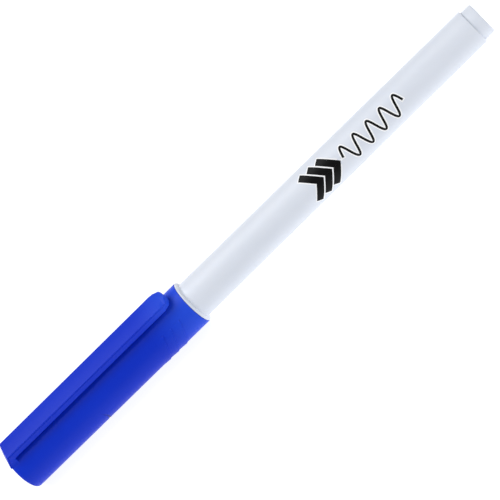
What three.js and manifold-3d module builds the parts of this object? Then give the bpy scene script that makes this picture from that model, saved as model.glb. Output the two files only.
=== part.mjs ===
// Pen-style whiteboard marker, capped, lying along X with its clip on top.
//
// Every piece is drawn on the marker's own centre line: x runs from the closed end of the
// cap (x = 0) to the rear end, and z points out through the clip. One group then lifts and
// shifts them all, so that the origin lies under the middle of the marker on the surface
// that it rests on. All sizes are in millimetres and all angles in degrees.

import * as THREE from "three";
import { mergeVertices } from "three/addons/utils/BufferGeometryUtils.js";
import Module from "manifold-3d";

const wasm = await Module();
wasm.setup();

// Overall sizes.
const overallLength = 140;
const capLength = 53.2;
const capDiameter = 11;
const barrelFrontDiameter = 9.15;
const barrelRearDiameter = 8.6;

// Clearances between pieces.
const seatGap = 0.05; // between faces that seat on each other along the marker
const pressGap = 0.03; // radial, between pieces that are pressed together
const runningGap = 0.06; // radial, between pieces that turn or slide in each other
const capGap = 0.2; // radial, between the cap's bore and the section that it slides over

// Cap shell.
const capWall = 0.9;
const capEndThickness = 1.2;
const capEndRounding = 0.8;
const capMouthChamfer = 0.12;
const linerStopDepth = 30.8; // from the mouth to the step that the inner cap bottoms on
const linerStopStep = 0.3;

// Thumb ribs on both sides of the cap: a slow ramp, then a steep face towards the mouth.
const ribCount = 3;
const ribPitch = 2.5;
const ribHeight = 0.15;
const ribRamp = 1.9;
const ribFirstCrest = 3.55; // from the mouth, at the end of the rib that is nearest the clip
const ribStartAngle = 52; // round the cap from the clip
const ribEndAngle = 150;
const ribSlant = 24; // away from straight round the cap
const ribSteps = 12;

// Clip: a root that leans out of the cap's closed end, and a flat tongue along the cap.
const clipWidth = 4.8;
const clipThickness = 1.85;
const clipGap = 0.7; // from the cap's surface to the underside of the tongue
const clipRootLean = 1.5; // how far the root's end face leans towards the mouth
const clipSlotStart = 2.4; // from the cap's closed end
const clipTipInset = 2.2; // from the cap's mouth back to the tip
const clipTaperLength = 2; // over which the tongue narrows towards its tip
const clipTaper = 0.5; // that each side draws in over that length
const clipTipRadius = 3.2; // of the rounded end, seen from above
const clipFlexOffset = 1.6; // from the start of the slot to where the tongue bends
const clipCut = 0.2; // width of the cut between the root and the tongue
const nubHeight = 0.5; // of the round-backed grip nub under the tip
const nubLength = 3;
const nubWidth = 2.6;
const nubInset = 3.5; // from the tip to the middle of the nub

// Front section, from its nose to the spigot that is pressed into the barrel.
const collarThickness = 0.35;
const collarInset = 0.08; // how far the collar stands in from the cap's surface
const collarConeLength = 0.25;
const landLength = 6.5;
const landConeLength = 2;
const sealLength = 6;
const noseTaperLength = 3.5;
const noseLip = 0.55; // wall left round the nib at the very nose
const noseRiseShare = 1 / 3; // of the room between the nose and the liner, taken by the taper
const beadHeight = 0.08; // snap bead round the land
const beadLength = 0.9;
const beadInset = 1.6; // from the land's front edge
const spigotLength = 6;
const spigotWall = 0.7;
const spigotHollowDepth = 9; // from the spigot's end to the shoulder that holds the nib

// Nib.
const nibDiameter = 4;
const nibExposed = 4.5;
const nibRoundLength = 2.6; // of the rounded writing end
const nibTailTaper = 3;
const nibTailTipDiameter = 1.8;
const nibReservoirDepth = 6; // how far the tail goes into the reservoir

// Barrel, rear plug and reservoir.
const barrelWall = 0.75; // at the rear end, where it is thinnest
const barrelRearChamfer = 0.25;
const plugHeadLength = 2.65;
const plugHeadStep = 0.45; // how far the plug's head stands in from the barrel's rear edge
const plugHeadRounding = 0.35;
const plugHeadDraft = 0.04;
const plugStemLength = 6;
const plugStemWall = 0.8;
const plugFloor = 0.9;
const plugFinLength = 4; // that the cross fins stand past the stem
const plugFinThickness = 0.8;
const plugFinInset = 0.5; // that the fins stand in from the stem's surface
const reservoirSlack = 0.22; // radial, between the wrapped reservoir and the barrel's bore
const reservoirEndGap = 0.3;
const wrapThickness = 0.12;
const wrapGap = 0.02;
const wrapInset = 0.5; // that the fibre stands past the film at each end

// Inner cap.
const innerCapMouthDepth = 10; // from the cap's mouth to the inner cap's own mouth
const innerCapFloor = 0.9;
const innerCapRingLength = 8; // the length that fills the cap's bore
const innerCapRelief = 0.35; // that the rest stands in from the cap's bore
const innerCapLead = 0.4; // lead-in chamfer at the mouth

const roundSides = 48;
const arcSteps = 4;

// Radii and stations that follow from the sizes above.
const capRadius = capDiameter / 2;
const capBore = capRadius - capWall;
const mouthX = capLength;
const linerStopX = mouthX - linerStopDepth;

const nibRadius = nibDiameter / 2;
const nibBore = nibRadius + pressGap;
const noseRadius = nibRadius + noseLip;
const landRadius = capBore - capGap;
const innerCapRadius = capBore - runningGap;
const sealRadius = noseRadius + noseRiseShare * (innerCapRadius - noseRadius);
const innerCapBore = sealRadius + runningGap;

const collarX = mouthX + seatGap;
const collarConeX = collarX + collarThickness;
const barrelFrontX = collarConeX + collarConeLength;
const spigotEndX = barrelFrontX + spigotLength;
const landFrontX = mouthX - landLength;
const sealRearX = landFrontX - landConeLength;
const sealFrontX = sealRearX - sealLength;
const noseX = sealFrontX - noseTaperLength;
const nibTipX = noseX - nibExposed;

const plugHeadX = overallLength - plugHeadLength;
const barrelRearX = plugHeadX - seatGap;
const barrelBore = barrelRearDiameter / 2 - barrelWall;
const plugStemX = plugHeadX - plugStemLength;
const plugFinX = plugStemX - plugFinLength;
const reservoirFrontX = spigotEndX + reservoirEndGap;
const reservoirRearX = plugFinX - reservoirEndGap;
const wrapRadius = barrelBore - reservoirSlack;
const reservoirRadius = wrapRadius - wrapThickness - wrapGap;
const nibTailX = reservoirFrontX + nibReservoirDepth;

const clipUnderside = capRadius + clipGap;
const clipTop = clipUnderside + clipThickness;
const clipTipX = mouthX - clipTipInset;
const clipFlexX = clipSlotStart + clipFlexOffset;

/** The colour and surface that one kind of moulding or fibre has. */
const finishes = {
  blueShell: { color: 0x2239b4, roughness: 0.42, metalness: 0 },
  whiteShell: { color: 0xe6eaf2, roughness: 0.45, metalness: 0 },
  naturalLiner: { color: 0xe9ecec, roughness: 0.5, metalness: 0 },
  inkedFelt: { color: 0x141d6b, roughness: 0.9, metalness: 0 },
  inkedFibre: { color: 0x1b2a8c, roughness: 0.95, metalness: 0 },
  clearFilm: { color: 0xd9dfee, roughness: 0.25, metalness: 0 },
};

/** Points of an arc about a centre, from one angle to another. */
function roundCorner(centre, radius, fromAngle, toAngle) {
  const points = [];
  for (let step = 0; step <= arcSteps; step += 1) {
    const angle = THREE.MathUtils.degToRad(
      THREE.MathUtils.lerp(fromAngle, toAngle, step / arcSteps),
    );
    points.push([centre[0] + radius * Math.cos(angle), centre[1] + radius * Math.sin(angle)]);
  }
  return points;
}

/** A surface turned about the centre line from an outline of [x, radius] points. */
function turned(outline) {
  const onAxis = outline[0][1] === 0 && outline[outline.length - 1][1] === 0;
  const loop = onAxis ? outline : [...outline, outline[0]];
  const points = loop.map(([x, radius]) => new THREE.Vector2(radius, x));
  const geometry = new THREE.LatheGeometry(points, roundSides);
  geometry.rotateZ(-Math.PI / 2);
  return geometry;
}

/** A flat outline of [x, z] points given a width across the marker, centred on y = 0. */
function acrossWidth(outline, width) {
  const shape = new THREE.Shape(outline.map(([x, z]) => new THREE.Vector2(x, z)));
  const geometry = new THREE.ExtrudeGeometry(shape, { depth: width, bevelEnabled: false });
  geometry.rotateX(Math.PI / 2);
  geometry.translate(0, width / 2, 0);
  return geometry;
}

/** The closed solid that a geometry bounds, ready to be joined or cut. */
function solidOf(geometry) {
  const bare = geometry.index ? geometry.toNonIndexed() : geometry.clone();
  bare.deleteAttribute("normal");
  bare.deleteAttribute("uv");
  const merged = mergeVertices(bare, 1e-5);
  const mesh = new wasm.Mesh({
    numProp: 3,
    vertProperties: merged.attributes.position.array,
    triVerts: new Uint32Array(merged.index.array),
  });
  return new wasm.Manifold(mesh);
}

/** The drawable geometry of a solid. */
function geometryOf(solid) {
  const mesh = solid.getMesh();
  const geometry = new THREE.BufferGeometry();
  geometry.setAttribute("position", new THREE.BufferAttribute(mesh.vertProperties, 3));
  geometry.setIndex(new THREE.BufferAttribute(mesh.triVerts, 1));
  geometry.computeVertexNormals();
  return geometry;
}

/** A named piece with its own material. */
function piece(name, geometry, finish) {
  const mesh = new THREE.Mesh(geometry, new THREE.MeshStandardMaterial(finish));
  mesh.name = name;
  return mesh;
}

/** One thumb rib: a straight wedge bent round the cap and skewed along it. */
function thumbRib(index, side) {
  const root = -capWall / 2;
  const wedge = new THREE.Shape([
    new THREE.Vector2(-ribRamp, root),
    new THREE.Vector2(0, root),
    new THREE.Vector2(0, ribHeight),
    new THREE.Vector2(-ribRamp, 0),
  ]);
  const sweep = THREE.MathUtils.degToRad(ribEndAngle - ribStartAngle);
  const arc = sweep * capRadius;
  const geometry = new THREE.ExtrudeGeometry(wedge, {
    depth: arc,
    steps: ribSteps,
    bevelEnabled: false,
  });
  const start = THREE.MathUtils.degToRad(ribStartAngle);
  const skew = Math.tan(THREE.MathUtils.degToRad(ribSlant));
  const crestX = mouthX - ribFirstCrest - index * ribPitch;
  const position = geometry.attributes.position;
  for (let i = 0; i < position.count; i += 1) {
    const along = side < 0 ? position.getZ(i) : arc - position.getZ(i);
    const angle = start + along / capRadius;
    const radius = capRadius + position.getY(i);
    const x = crestX + position.getX(i) - skew * along;
    position.setXYZ(i, x, side * radius * Math.sin(angle), radius * Math.cos(angle));
  }
  return geometry;
}

/** The root of the clip and the stub of its tongue, sunk into the cap's wall. */
function clipRoot() {
  const foot = capRadius - capWall / 2;
  const outline = [
    [capEndRounding, foot],
    [clipSlotStart, foot],
    [clipSlotStart, clipUnderside],
    [clipFlexX - clipCut / 2, clipUnderside],
    [clipFlexX - clipCut / 2, clipTop],
    [clipRootLean, clipTop],
    [0, capRadius - capEndRounding / 2],
    [capEndRounding / 2, capRadius - capEndRounding],
  ];
  return acrossWidth(outline, clipWidth);
}

/** Cap shell with a closed end, the clip's root and the thumb ribs. */
function cap() {
  const outline = [
    [0, 0],
    ...roundCorner([capEndRounding, capRadius - capEndRounding], capEndRounding, 180, 90),
    [mouthX - capMouthChamfer, capRadius],
    [mouthX, capRadius - capMouthChamfer],
    [mouthX, capBore],
    [linerStopX, capBore],
    [linerStopX, capBore - linerStopStep],
    [capEndThickness, capBore - linerStopStep],
    [capEndThickness, 0],
  ];
  let solid = solidOf(turned(outline));
  solid = solid.add(solidOf(clipRoot()));
  for (const side of [-1, 1]) {
    for (let index = 0; index < ribCount; index += 1) {
      solid = solid.add(solidOf(thumbRib(index, side)));
    }
  }
  return piece("cap", geometryOf(solid), finishes.blueShell);
}

/** Flat tongue of the clip, with a narrow grip nub under its rounded tip. */
function clip() {
  const startX = clipFlexX + clipCut / 2;
  const nubX = clipTipX - nubInset;
  const nubRoot = clipUnderside + clipThickness / 2;
  const nub = [[nubX + nubLength / 2, nubRoot], [nubX - nubLength / 2, nubRoot]];
  for (let step = 0; step <= arcSteps * 2; step += 1) {
    const share = step / (arcSteps * 2);
    const drop = nubHeight * Math.sin(Math.PI * share);
    nub.push([nubX + nubLength * (share - 0.5), clipUnderside - drop]);
  }
  const side = [
    [startX, clipUnderside],
    [clipTipX, clipUnderside],
    [clipTipX, clipTop],
    [startX, clipTop],
  ];
  const half = clipWidth / 2;
  const endTurn = THREE.MathUtils.radToDeg(Math.asin((half - clipTaper) / clipTipRadius));
  const plan = [
    [startX, -half],
    [clipTipX - clipTaperLength, -half],
    ...roundCorner([clipTipX - clipTipRadius, 0], clipTipRadius, -endTurn, endTurn),
    [clipTipX - clipTaperLength, half],
    [startX, half],
  ];
  const planShape = new THREE.Shape(plan.map(([x, y]) => new THREE.Vector2(x, y)));
  const planBlock = new THREE.ExtrudeGeometry(planShape, { depth: clipTop, bevelEnabled: false });
  const tongue = solidOf(acrossWidth(side, clipWidth)).intersect(solidOf(planBlock));
  const solid = tongue.add(solidOf(acrossWidth(nub, nubWidth)));
  return piece("clip", geometryOf(solid), finishes.blueShell);
}

/** Liner cup inside the cap, closed at its far end and sealing round the nose. */
function innerCap() {
  const mouth = mouthX - innerCapMouthDepth;
  const end = linerStopX + seatGap;
  const ringEnd = mouth - innerCapRingLength;
  const body = innerCapRadius - innerCapRelief;
  const outline = [
    [end, 0],
    [end, body],
    [ringEnd, body],
    [ringEnd, innerCapRadius],
    [mouth, innerCapRadius],
    [mouth, innerCapBore + innerCapLead],
    [mouth - innerCapLead, innerCapBore],
    [end + innerCapFloor, innerCapBore],
    [end + innerCapFloor, 0],
  ];
  return piece("inner_cap", turned(outline), finishes.naturalLiner);
}

/** Nib holder: nose, sealing land, snap bead, stop collar and spigot. */
function frontSection() {
  const beadX = landFrontX + beadInset;
  const spigotRadius = barrelBore - pressGap;
  const hollowX = spigotEndX - spigotHollowDepth;
  const hollow = spigotRadius - spigotWall;
  const outline = [
    [noseX, nibBore],
    [noseX, noseRadius],
    [sealFrontX, sealRadius],
    [sealRearX, sealRadius],
    [landFrontX, landRadius],
    [beadX, landRadius],
    [beadX + beadLength / 2, landRadius + beadHeight],
    [beadX + beadLength, landRadius],
    [collarX, landRadius],
    [collarX, capRadius - collarInset],
    [collarConeX, capRadius - collarInset],
    [barrelFrontX, barrelFrontDiameter / 2],
    [barrelFrontX, spigotRadius],
    [spigotEndX, spigotRadius],
    [spigotEndX, hollow],
    [hollowX, hollow],
    [hollowX, nibBore],
  ];
  return piece("front_section", turned(outline), finishes.whiteShell);
}

/** Bullet nib with a rounded writing end and a tail that tapers into the reservoir. */
function nib() {
  const dome = [];
  for (let step = 1; step <= arcSteps * 2; step += 1) {
    const angle = (Math.PI / 2) * (step / (arcSteps * 2));
    dome.push([nibTipX + nibRoundLength * (1 - Math.cos(angle)), nibRadius * Math.sin(angle)]);
  }
  const outline = [
    [nibTipX, 0],
    ...dome,
    [nibTailX - nibTailTaper, nibRadius],
    [nibTailX, nibTailTipDiameter / 2],
    [nibTailX, 0],
  ];
  return piece("nib", turned(outline), finishes.inkedFelt);
}

/** Tapered white tube. */
function barrel() {
  const frontX = barrelFrontX + seatGap;
  const rear = barrelRearDiameter / 2;
  const outline = [
    [frontX, barrelFrontDiameter / 2],
    [barrelRearX - barrelRearChamfer, rear],
    [barrelRearX, rear - barrelRearChamfer],
    [barrelRearX, barrelBore],
    [frontX, barrelBore],
  ];
  return piece("barrel", turned(outline), finishes.whiteShell);
}

/** Stepped plug: a head that shows, a hollow stem, and cross fins that hold the reservoir. */
function rearPlug() {
  const head = barrelRearDiameter / 2 - plugHeadStep;
  const tip = head - plugHeadDraft;
  const stem = barrelBore - pressGap;
  const edge = [overallLength - plugHeadRounding, tip - plugHeadRounding];
  const outline = [
    [plugStemX, stem - plugStemWall],
    [plugStemX, stem],
    [plugHeadX, stem],
    [plugHeadX, head],
    ...roundCorner(edge, plugHeadRounding, 90, 0),
    [overallLength, 0],
  ];
  const closed = [
    [overallLength - plugFloor, 0],
    [overallLength - plugFloor, stem - plugStemWall],
    ...outline,
  ];
  const finSpan = 2 * (stem - plugFinInset);
  const finLength = overallLength - plugFloor / 2 - plugFinX;
  let solid = solidOf(turned(closed));
  for (const turn of [0, Math.PI / 2]) {
    const fin = new THREE.BoxGeometry(finLength, finSpan, plugFinThickness);
    fin.translate(plugFinX + finLength / 2, 0, 0);
    fin.rotateX(turn);
    solid = solid.add(solidOf(fin));
  }
  return piece("rear_plug", geometryOf(solid), finishes.whiteShell);
}

/** Fibre rod that holds the ink, with the pocket that the nib's tail has pushed into it. */
function inkReservoir() {
  const pocket = nibRadius + wrapGap;
  const pocketTip = nibTailTipDiameter / 2 + wrapGap;
  const outline = [
    [nibTailX + seatGap, 0],
    [nibTailX + seatGap, pocketTip],
    [nibTailX - nibTailTaper + seatGap, pocket],
    [reservoirFrontX, pocket],
    [reservoirFrontX, reservoirRadius],
    [reservoirRearX, reservoirRadius],
    [reservoirRearX, 0],
  ];
  return piece("ink_reservoir", turned(outline), finishes.inkedFibre);
}

/** Film that the reservoir is rolled in, open at both ends. */
function reservoirWrap() {
  const outline = [
    [reservoirFrontX + wrapInset, wrapRadius - wrapThickness],
    [reservoirFrontX + wrapInset, wrapRadius],
    [reservoirRearX - wrapInset, wrapRadius],
    [reservoirRearX - wrapInset, wrapRadius - wrapThickness],
  ];
  return piece("reservoir_wrap", turned(outline), finishes.clearFilm);
}

const pen = new THREE.Group();
pen.add(barrel(), frontSection(), nib(), inkReservoir(), reservoirWrap(), rearPlug());

const capAssembly = new THREE.Group();
capAssembly.add(innerCap(), cap(), clip());

const marker = new THREE.Group();
marker.add(pen, capAssembly);
marker.position.set(-overallLength / 2, 0, capRadius);

const part = new THREE.Group();
part.add(marker);

export default part;
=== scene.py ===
"""Slim whiteboard marker with a clip-on cap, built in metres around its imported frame.

Every piece is measured in millimetres along the marker's own centre line: x runs from the
closed end of the cap to the rear end, and z points out through the clip. CentreLine turns
such a point into metres in the frame. Sizes named _mm belong to a pattern in a material.
"""

import logging
import math
from dataclasses import dataclass, field
from enum import Enum
from typing import Any, ClassVar, Sequence

import bmesh
import bpy
from mathutils import Matrix, Vector


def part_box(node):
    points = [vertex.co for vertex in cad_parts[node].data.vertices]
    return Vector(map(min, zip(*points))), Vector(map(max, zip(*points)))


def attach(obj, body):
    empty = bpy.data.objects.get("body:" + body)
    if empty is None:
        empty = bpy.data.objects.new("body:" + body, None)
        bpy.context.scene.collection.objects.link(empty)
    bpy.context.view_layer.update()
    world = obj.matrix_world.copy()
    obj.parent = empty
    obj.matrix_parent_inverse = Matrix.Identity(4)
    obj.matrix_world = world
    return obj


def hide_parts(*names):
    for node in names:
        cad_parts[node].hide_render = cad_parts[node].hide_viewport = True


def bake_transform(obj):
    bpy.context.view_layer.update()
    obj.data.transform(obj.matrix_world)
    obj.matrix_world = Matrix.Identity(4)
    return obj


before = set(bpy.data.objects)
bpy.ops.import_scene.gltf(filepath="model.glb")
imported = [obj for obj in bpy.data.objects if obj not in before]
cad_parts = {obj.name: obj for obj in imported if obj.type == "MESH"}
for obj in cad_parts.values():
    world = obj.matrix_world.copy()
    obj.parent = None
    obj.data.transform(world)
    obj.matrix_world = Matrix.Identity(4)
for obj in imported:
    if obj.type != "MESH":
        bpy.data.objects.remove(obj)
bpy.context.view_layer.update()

logging.basicConfig(level=logging.INFO, format="%(name)s: %(message)s")
LOG = logging.getLogger("marker")

MM = 0.001
ROUND_SIDES = 192
SHARP_ANGLE = 32.0
FILLET_ROOM = 2.02  # each side next to a fillet is at least this many times its reach

MIX_SHARE, MIX_LOW, MIX_HIGH = 0, 6, 7  # a Mix node's inputs when it mixes colours
MIX_COLOUR = 2  # its output

Point = tuple[float, float]
Corner = tuple[float, ...]  # x, radius and, where it is rounded, the radius of that
Ring = list[Vector]


class Body(Enum):
    """Bodies of the frame that pieces ride on."""

    PEN = "pen"
    LINER = "cap_liner"
    SHELL = "cap_shell"
    TONGUE = "clip_tongue"


class Finish(Enum):
    """Finishes that a piece can be given, each with the record's slot that it shows."""

    BLUE = ("moulded blue polypropylene", "blue_polypropylene")
    WHITE = ("moulded white polypropylene", "white_polypropylene")
    NATURAL = ("moulded natural polyethylene", "natural_polyethylene")
    FELT = ("inked felt", "inked_felt")
    FIBRE = ("inked fibre", "inked_fibre")
    FILM = ("extruded film", "reservoir_film")
    PRINT = ("black print", "black_print")
    GROUND = ("white print", "white_polypropylene")

    @property
    def label(self) -> str:
        """The finish in words."""
        return self.value[0]

    @property
    def slot(self) -> str:
        """The record's material slot."""
        return self.value[1]


# ---------------------------------------------------------------- shapes


@dataclass(frozen=True)
class CentreLine:
    """The line that the marker's round pieces share, from the cap's closed end, in metres."""

    start: Vector

    def at(self, x: float, y: float, z: float) -> Vector:
        """A point given in millimetres from the line's start, in metres."""
        return self.start + Vector((x, y, z)) * MM

    def around(self, x: float, radius: float, angle: float) -> Vector:
        """A point at a radius and an angle in degrees from the clip, towards -Y."""
        turn = math.radians(angle)
        return self.at(x, -radius * math.sin(turn), radius * math.cos(turn))


def smoothstep(low: float, high: float, value: float) -> float:
    """A share from 0 to 1 that rises smoothly as value goes from low to high."""
    share = min(max((value - low) / (high - low), 0.0), 1.0)
    return share * share * (3 - 2 * share)


def lerp(start: float, end: float, share: float) -> float:
    """The number that lies at a share of the way from start to end."""
    return start + (end - start) * share


def spread(start: float, end: float, count: int) -> list[float]:
    """Evenly spaced numbers from start to end, both included."""
    return [lerp(start, end, step / (count - 1)) for step in range(count)]


def in_scene(name: str, data: bpy.types.ID) -> bpy.types.Object:
    """Makes an object from its data and puts it in the scene.

    Args:
        name: The object's name.
        data: What it holds, such as a mesh or a light.

    Returns:
        The object.
    """
    made = bpy.data.objects.new(name, data)
    bpy.context.scene.collection.objects.link(made)
    return made


def rounded(corners: Sequence[Corner], steps: int = 5) -> list[Point]:
    """Rounds the corners of an outline.

    Args:
        corners: The outline, in order. Its first and last corner stay sharp.
        steps: How many points each rounded corner gets.

    Returns:
        Points of [x, radius].
    """
    points: list[Point] = []
    places = [Vector(corner[:2]) for corner in corners]
    for index, (here, corner) in enumerate(zip(places, corners)):
        if len(corner) == 2 or index in (0, len(corners) - 1):
            points.append((here.x, here.y))
            continue
        back = places[index - 1] - here
        ahead = places[index + 1] - here
        half = back.angle(ahead) / 2
        room = (back.length / FILLET_ROOM, ahead.length / FILLET_ROOM)
        reach = min(corner[2] / math.tan(half), *room)
        size = reach * math.tan(half)
        middle = here + (back.normalized() + ahead.normalized()).normalized() * (size / math.sin(half))
        first = here + back.normalized() * reach - middle
        last = here + ahead.normalized() * reach - middle
        sweep = math.pi - 2 * half
        for share in spread(0, 1, steps):
            arc = first * math.sin((1 - share) * sweep) + last * math.sin(share * sweep)
            arc = arc / math.sin(sweep)
            points.append((middle.x + arc.x, middle.y + arc.y))
    return points


def skin(name: str, parts: Sequence[Sequence[Ring]], sharp: float = SHARP_ANGLE) -> bpy.types.Object:
    """Makes a closed mesh from runs of rings.

    Args:
        name: The piece's name.
        parts: One run of rings for each closed part of the mesh. A ring of one point is a
            pole. A run whose ends aren't poles is closed by a face at each end, unless its
            first and last rings are the same ring, which makes it a loop.
        sharp: The angle between faces, in degrees, above which their edge stays sharp.

    Returns:
        The object, smooth shaded, with its faces pointing outwards.
    """
    mesh = bmesh.new()
    for rings in parts:
        looped = rings[0] is rings[-1]
        laid = [[mesh.verts.new(point) for point in ring] for ring in rings[: len(rings) - looped]]
        if looped:
            laid.append(laid[0])
        for near, far in zip(laid, laid[1:]):
            for index in range(max(len(near), len(far))):
                here, after = (
                    (near[place % len(near)], far[place % len(far)]) for place in (index, index + 1)
                )
                mesh.faces.new(dict.fromkeys((here[0], after[0], after[1], here[1])))
        for ring in (laid[0], laid[-1]):
            if len(ring) > 1 and not looped:
                mesh.faces.new(ring)
    bmesh.ops.recalc_face_normals(mesh, faces=mesh.faces)
    data = bpy.data.meshes.new(name)
    mesh.to_mesh(data)
    mesh.free()
    data.shade_smooth()
    data.set_sharp_from_angle(angle=math.radians(sharp))
    return in_scene(name, data)


def turned_rings(line: CentreLine, outline: Sequence[Point], sides: int = ROUND_SIDES) -> list[Ring]:
    """Rings of a piece turned about the centre line.

    Args:
        line: The centre line.
        outline: Points of [x, radius]. Unless it starts and ends on the line, it is closed.
        sides: How many points go round a ring.

    Returns:
        The rings, ready for skin().
    """
    rings: list[Ring] = []
    for x, radius in outline:
        if radius < 1e-6:
            rings.append([line.at(x, 0, 0)])
        else:
            rings.append([line.around(x, radius, 360 * side / sides) for side in range(sides)])
    if len(rings[0]) > 1:
        rings.append(rings[0])
    return rings


# ---------------------------------------------------------------- materials


def linear(hex_colour: str) -> tuple[float, float, float, float]:
    """Turns an sRGB colour such as "#2239b4" into linear red, green, blue and alpha.

    Args:
        hex_colour: The sRGB colour.

    Returns:
        Its linear values.
    """
    values = [int(hex_colour[place : place + 2], 16) / 255 for place in (1, 3, 5)]
    red, green, blue = (
        value / 12.92 if value <= 0.04045 else ((value + 0.055) / 1.055) ** 2.4 for value in values
    )
    return red, green, blue, 1.0


def per_metre(size_mm: float) -> float:
    """The texture scale that gives features of about this size."""
    return 1 / (size_mm * MM)


def add_node(
    tree: bpy.types.NodeTree,
    kind: str,
    settings: dict[Any, Any] | None = None,
    links: dict[Any, bpy.types.Node | bpy.types.NodeSocket] | None = None,
) -> bpy.types.Node:
    """Adds a shader node.

    Args:
        tree: The material's node tree.
        kind: The node's type, without its ShaderNode prefix.
        settings: Values by attribute name, by input name or by input number.
        links: What to join to each input: an output socket, or a node for its first one.

    Returns:
        The new node.
    """
    node = tree.nodes.new("ShaderNode" + kind)
    for key, value in (settings or {}).items():
        if isinstance(key, str) and key in node.bl_rna.properties:
            setattr(node, key, value)
        else:
            node.inputs[key].default_value = value
    for key, source in (links or {}).items():
        socket = source.outputs[0] if isinstance(source, bpy.types.Node) else source
        tree.links.new(socket, node.inputs[key])
    return node


def new_material(name: str) -> tuple[bpy.types.Material, bpy.types.NodeTree]:
    """An empty node material and its tree.

    Args:
        name: The material's name.

    Returns:
        The material and its tree.
    """
    material = bpy.data.materials.new(name)
    material.use_nodes = True
    material.node_tree.nodes.clear()
    return material, material.node_tree


@dataclass(frozen=True)
class WeldShadeLine:
    """Thin line of painted shade on the -Y side, standing in for the shadow in the groove where two
    fronts of the melt met and chilled.

    Seen along Y it is an arc: it rises from its strong lower end and bends back towards the
    closed end as it fades.
    """

    x: float  # its strong end along the frame's X, in metres
    z: float  # the height of that end, in metres
    rise: float = 0.55  # how far it moves along X for each step up, at its strong end
    curve: float = 0.116  # how much of that is lost for each millimetre up
    reach_mm: float = 4.6  # how far up it has faded out
    width_mm: float = 0.3  # half of its width, drawn coarser than the real 0.05 mm so it shows
    core_mm: float = 0.1  # half of the width that has its full colour
    side_mm: Point = (2.0, 3.8)  # how far out along -Y it starts to show, and is at full strength
    # the colour of the painted shade in the weld line's groove
    colour: str = "#070c44"

    def drift_mm(self, up_mm: float) -> float:
        """How far it has moved along X at a height above its strong end."""
        return up_mm * (self.rise - self.curve * up_mm)

    def draw(
        self, tree: bpy.types.NodeTree, place: bpy.types.NodeSocket, colour: bpy.types.Node
    ) -> bpy.types.Node:
        """Paints the line's shade over a colour.

        Args:
            tree: The material's node tree.
            place: The place on the object.
            colour: The Mix node with the plastic's colour.

        Returns:
            The Mix node with the line's painted shade drawn in.
        """
        axes = add_node(tree, "SeparateXYZ", links={"Vector": place}).outputs
        up = add_node(tree, "Math", {"operation": "SUBTRACT", 1: self.z}, {0: axes[2]})
        bend = {"operation": "MULTIPLY_ADD", 1: -self.curve / MM, 2: self.rise}
        slope = add_node(tree, "Math", bend, {0: up})
        middle = add_node(tree, "Math", {"operation": "MULTIPLY_ADD", 2: self.x}, {0: up, 1: slope})
        away = add_node(tree, "Math", {"operation": "SUBTRACT"}, {0: axes[0], 1: middle})
        gap = add_node(tree, "Math", {"operation": "ABSOLUTE"}, {0: away})
        across = {"From Min": self.width_mm * MM, "From Max": self.core_mm * MM}
        share = add_node(tree, "MapRange", across, {"Value": gap})
        edge, full = (-side * MM for side in self.side_mm)
        for low, high, value in ((self.reach_mm * MM, 0.0, up), (edge, full, axes[1])):
            part = add_node(tree, "MapRange", {"From Min": low, "From Max": high}, {"Value": value})
            share = add_node(tree, "Math", {"operation": "MULTIPLY"}, {0: share, 1: part})
        # Painted shade: the line's nearly black blue is mixed over the plastic's colour.
        painted_shade = {"data_type": "RGBA", MIX_HIGH: linear(self.colour)}
        return add_node(tree, "Mix", painted_shade, {MIX_SHARE: share, MIX_LOW: colour.outputs[MIX_COLOUR]})


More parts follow.
